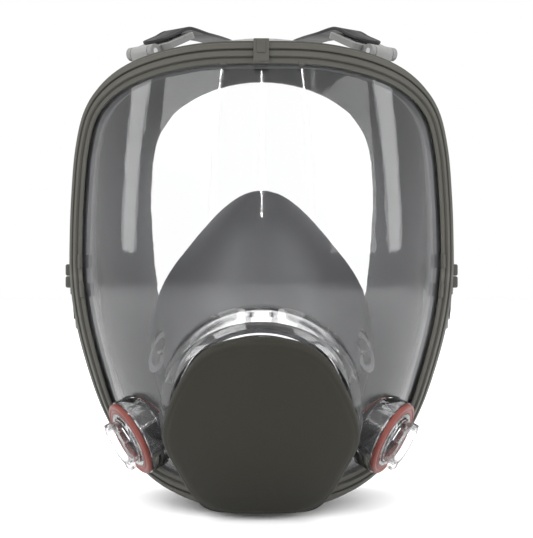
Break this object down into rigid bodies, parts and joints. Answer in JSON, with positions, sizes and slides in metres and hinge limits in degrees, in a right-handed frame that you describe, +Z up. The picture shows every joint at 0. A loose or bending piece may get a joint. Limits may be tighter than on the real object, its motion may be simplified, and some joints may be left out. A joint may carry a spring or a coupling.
{
  "type": "full face respirator",
  "caption": "Full face respirator: panoramic clear visor in a clamped frame, soft seal, nose cup, cheek bayonet ports, exhalation cover and strap harness.",
  "frame": {"origin": "centre of the face opening, at the middle of the eye and nose space", "axes": "+Z up to the crown, +Y back towards the wearer's head, +X across the face"},
  "size_m": [0.2118, 0.3055, 0.2681],
  "materials": {
    "clear_lens": "gloss",
    "clear_port": "gloss",
    "frame_plastic": "matte",
    "cover_plastic": "matte",
    "seal_rubber": "matte",
    "cup_rubber": "matte",
    "strap_rubber": "matte",
    "gasket_rubber": "satin",
    "valve_rubber": "matte",
    "seat_plastic": "matte",
    "buckle_plastic": "satin",
    "screw_steel": "satin",
    "pin_steel": "satin"
  },
  "bodies": {
    "facepiece": {"lens": "clear_lens", "frame_upper": "frame_plastic", "frame_lower": "frame_plastic", "face_seal": "seal_rubber", "frame_screws": "screw_steel", "frame_nuts": "screw_steel", "nose_cup": "cup_rubber", "centre_adapter": "clear_port", "buckle_pins": "pin_steel", "crown_pad": "strap_rubber", "nose_valve_seat_right": "seat_plastic", "inhalation_port_right": "clear_port", "port_gasket_right": "gasket_rubber", "buckle_lug_upper_right": "seat_plastic", "buckle_lug_lower_right": "seat_plastic", "strap_upper_right": "strap_rubber", "strap_lower_right": "strap_rubber", "nose_valve_seat_left": "seat_plastic", "inhalation_port_left": "clear_port", "port_gasket_left": "gasket_rubber", "buckle_lug_upper_left": "seat_plastic", "buckle_lug_lower_left": "seat_plastic", "strap_upper_left": "strap_rubber", "strap_lower_left": "strap_rubber"},
    "exhalation_valve": {"exhalation_valve": "valve_rubber"},
    "exhalation_cover": {"exhalation_cover": "cover_plastic"},
    "nose_valve_right": {"nose_valve_right": "valve_rubber"},
    "inhalation_valve_right": {"inhalation_valve_right": "valve_rubber"},
    "buckle_upper_right": {"buckle_upper_right": "buckle_plastic"},
    "buckle_lower_right": {"buckle_lower_right": "buckle_plastic"},
    "nose_valve_left": {"nose_valve_left": "valve_rubber"},
    "inhalation_valve_left": {"inhalation_valve_left": "valve_rubber"},
    "buckle_upper_left": {"buckle_upper_left": "buckle_plastic"},
    "buckle_lower_left": {"buckle_lower_left": "buckle_plastic"}
  },
  "joints": [
    {"name": "cover_snap", "type": "slide", "parent": "facepiece", "child": "exhalation_cover", "axis": [0, -0.9272, -0.3746], "range_m": [0, 0.018]},
    {"name": "exhale_lift", "type": "slide", "parent": "facepiece", "child": "exhalation_valve", "axis": [0, -0.9272, -0.3746], "range_m": [0, 0.0025], "stiffness_N_per_m": 20},
    {"name": "inhale_lift_right", "type": "slide", "parent": "facepiece", "child": "inhalation_valve_right", "axis": [-0.8074, 0.4107, 0.4237], "range_m": [0, 0.002], "stiffness_N_per_m": 20},
    {"name": "nose_lift_right", "type": "slide", "parent": "facepiece", "child": "nose_valve_right", "axis": [-0.8326, 0.4514, -0.321], "range_m": [0, 0.0015], "stiffness_N_per_m": 20},
    {"name": "inhale_lift_left", "type": "slide", "parent": "facepiece", "child": "inhalation_valve_left", "axis": [0.8074, 0.4107, 0.4237], "range_m": [0, 0.002], "stiffness_N_per_m": 20},
    {"name": "nose_lift_left", "type": "slide", "parent": "facepiece", "child": "nose_valve_left", "axis": [0.8326, 0.4514, -0.321], "range_m": [0, 0.0015], "stiffness_N_per_m": 20},
    {"name": "buckle_tilt_upper_right", "type": "hinge", "parent": "facepiece", "child": "buckle_upper_right", "pos_m": [0.063, -0.028, 0.115], "axis": [0.77, 0.638, 0], "range_deg": [-5, 35], "deforming": ["strap_upper_right"]},
    {"name": "buckle_tilt_lower_right", "type": "hinge", "parent": "facepiece", "child": "buckle_lower_right", "pos_m": [0.0955, -0.03, -0.022], "axis": [0, 0.2994, -0.9541], "range_deg": [0, 35], "deforming": ["strap_lower_right"]},
    {"name": "buckle_tilt_upper_left", "type": "hinge", "parent": "facepiece", "child": "buckle_upper_left", "pos_m": [-0.063, -0.028, 0.115], "axis": [0.77, -0.638, 0], "range_deg": [-5, 35], "deforming": ["strap_upper_left"]},
    {"name": "buckle_tilt_lower_left", "type": "hinge", "parent": "facepiece", "child": "buckle_lower_left", "pos_m": [-0.0955, -0.03, -0.022], "axis": [0, -0.2994, 0.9541], "range_deg": [0, 35], "deforming": ["strap_lower_left"]}
  ]
}
